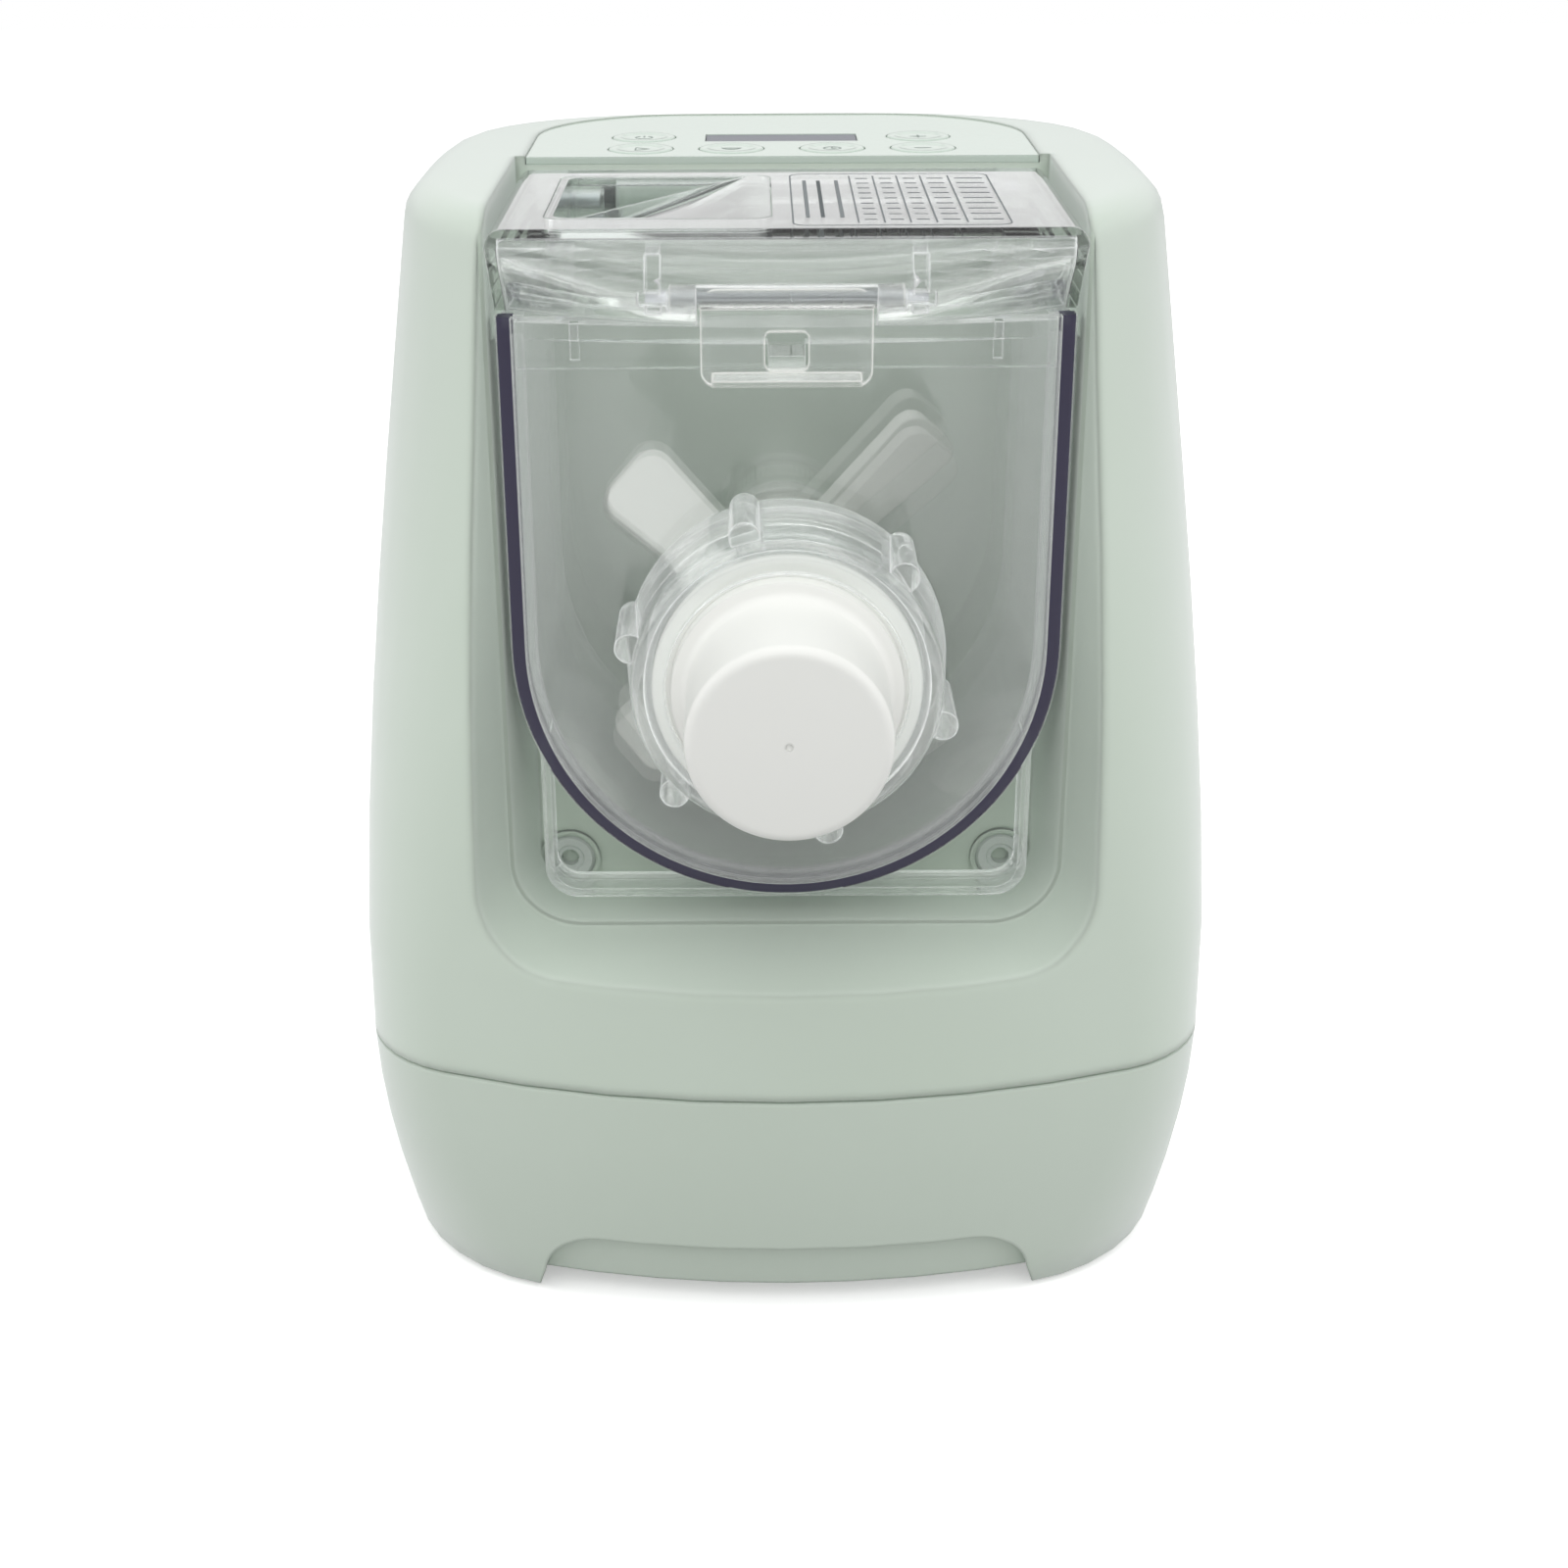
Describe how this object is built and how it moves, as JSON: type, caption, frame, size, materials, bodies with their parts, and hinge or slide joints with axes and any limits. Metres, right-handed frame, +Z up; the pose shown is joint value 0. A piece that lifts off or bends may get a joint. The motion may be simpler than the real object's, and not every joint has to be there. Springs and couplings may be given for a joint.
{
  "type": "electric pasta maker",
  "caption": "Electric pasta maker with a moulded housing, a clear-fronted mixing bowl under a hinged lid, a screwed-on noodle die, a geared auger drive and a key panel.",
  "frame": {"origin": "on the table, under the middle of the part's outline", "axes": "+Z up, +X to the right seen from the front, -Y forwards, the way the nozzle points"},
  "size_m": [0.2128, 0.2324, 0.273],
  "materials": {
    "housing": "satin moulded plastic, pale mint",
    "panel": "glossy moulded plastic, light mint",
    "display": "dark display window",
    "smoky_clear": "transparent plastic with a smoky violet tint",
    "clear_plastic": "clear transparent plastic",
    "white_plastic": "white food-safe plastic",
    "soft_grey": "soft grey silicone",
    "rubber_dark": "dark rubber",
    "black_plastic": "black moulded plastic",
    "gear_plastic": "natural acetal",
    "circuit_board": "green laminate",
    "steel": "plated steel",
    "winding": "laminations and copper winding drawn as one block",
    "bronze": "sintered bronze or brass"
  },
  "bodies": {
    "housing": {"upper_shell": "housing", "base_shell": "housing", "base_plate": "housing", "rubber_feet": "rubber_dark", "shell_screws": "steel", "control_panel": "panel", "display_window": "display", "display_module": "black_plastic", "control_board": "circuit_board", "power_board": "circuit_board", "bowl_catches": "soft_grey", "interlock_switch": "black_plastic", "cord_gland": "rubber_dark", "gearbox_case": "black_plastic", "gearbox_cover": "black_plastic", "gearbox_screws": "steel", "idler_axles": "steel", "output_bearings": "steel", "shaft_seal": "rubber_dark", "motor_bracket": "steel", "motor_can": "steel", "motor_stator": "winding", "motor_bearings": "bronze"},
    "bowl": {"mixing_bowl": "smoky_clear", "bowl_bush": "white_plastic", "hinge_pins": "steel", "front_plate": "clear_plastic", "plate_gasket": "soft_grey"},
    "lid": {"lid_shell": "smoky_clear", "lid_visor": "clear_plastic", "pour_basin": "clear_plastic"},
    "latch": {"lid_latch": "clear_plastic", "latch_pins": "steel"},
    "die": {"noodle_die": "white_plastic"},
    "lock_nut": {"lock_nut": "clear_plastic"},
    "auger": {"mixing_auger": "white_plastic"},
    "drive": {"output_shaft": "steel", "output_gear": "gear_plastic"},
    "idler_upper": {"idler_gear_upper": "gear_plastic"},
    "idler_lower": {"idler_gear_lower": "gear_plastic"},
    "motor_rotor": {"motor_shaft": "steel", "motor_pinion": "bronze", "rotor_core": "steel", "cooling_fan": "white_plastic"},
    "key_rear_left": {"key_rear_left": "panel"},
    "key_left": {"key_left": "panel"},
    "key_mid_left": {"key_mid_left": "panel"},
    "key_mid_right": {"key_mid_right": "panel"},
    "key_right": {"key_right": "panel"},
    "key_rear_right": {"key_rear_right": "panel"}
  },
  "joints": [
    {"name": "bowl_pull", "type": "slide", "parent": "housing", "child": "bowl", "axis": [0, -1, 0], "range_m": [0, 0.15]},
    {"name": "lid_hinge", "type": "hinge", "parent": "bowl", "child": "lid", "pos_m": [0, 0.0085, 0.2638], "axis": [-1, 0, 0], "range_deg": [0, 90]},
    {"name": "latch_hinge", "type": "hinge", "parent": "lid", "child": "latch", "pos_m": [0, -0.0688, 0.2566], "axis": [-1, 0, 0], "range_deg": [0, 35]},
    {"name": "nut_turn", "type": "hinge", "parent": "die", "child": "lock_nut", "pos_m": [0, -0.07, 0.173], "axis": [0, -1, 0], "range_deg": [0, 1440]},
    {"name": "die_pull", "type": "slide", "parent": "bowl", "child": "die", "axis": [0, -1, 0], "range_m": [0, 0.016]},
    {"name": "drive_turn", "type": "hinge", "parent": "housing", "child": "drive", "pos_m": [0, 0.02, 0.173], "axis": [0, 1, 0], "continuous": true},
    {"name": "auger_turn", "type": "hinge", "parent": "bowl", "child": "auger", "pos_m": [0, 0.018, 0.173], "axis": [0, 1, 0], "continuous": true},
    {"name": "idler_upper_turn", "type": "hinge", "parent": "housing", "child": "idler_upper", "pos_m": [0.01907, 0.035, 0.1339], "axis": [0, 1, 0], "continuous": true},
    {"name": "idler_lower_turn", "type": "hinge", "parent": "housing", "child": "idler_lower", "pos_m": [0.00431, 0.04, 0.10494], "axis": [0, 1, 0], "continuous": true},
    {"name": "motor_turn", "type": "hinge", "parent": "housing", "child": "motor_rotor", "pos_m": [0.00032, 0.06, 0.07824], "axis": [0, 1, 0], "continuous": true},
    {"name": "press_rear_left", "type": "slide", "parent": "housing", "child": "key_rear_left", "axis": [0, 0, -1], "range_m": [0, 0.0008], "stiffness_N_per_m": 600, "springref_m": -0.0008},
    {"name": "press_left", "type": "slide", "parent": "housing", "child": "key_left", "axis": [0, 0, -1], "range_m": [0, 0.0008], "stiffness_N_per_m": 600, "springref_m": -0.0008},
    {"name": "press_mid_left", "type": "slide", "parent": "housing", "child": "key_mid_left", "axis": [0, 0, -1], "range_m": [0, 0.0008], "stiffness_N_per_m": 600, "springref_m": -0.0008},
    {"name": "press_mid_right", "type": "slide", "parent": "housing", "child": "key_mid_right", "axis": [0, 0, -1], "range_m": [0, 0.0008], "stiffness_N_per_m": 600, "springref_m": -0.0008},
    {"name": "press_right", "type": "slide", "parent": "housing", "child": "key_right", "axis": [0, 0, -1], "range_m": [0, 0.0008], "stiffness_N_per_m": 600, "springref_m": -0.0008},
    {"name": "press_rear_right", "type": "slide", "parent": "housing", "child": "key_rear_right", "axis": [0, 0, -1], "range_m": [0, 0.0008], "stiffness_N_per_m": 600, "springref_m": -0.0008}
  ],
  "couplings": [
    {"joint": "auger_turn", "follows": "drive_turn", "ratio": 1},
    {"joint": "idler_upper_turn", "follows": "drive_turn", "ratio": -3.4615},
    {"joint": "idler_lower_turn", "follows": "drive_turn", "ratio": 11.538},
    {"joint": "motor_turn", "follows": "drive_turn", "ratio": -40.385},
    {"joint": "die_pull", "follows": "nut_turn", "m_per_rad": 0.00063662}
  ]
}
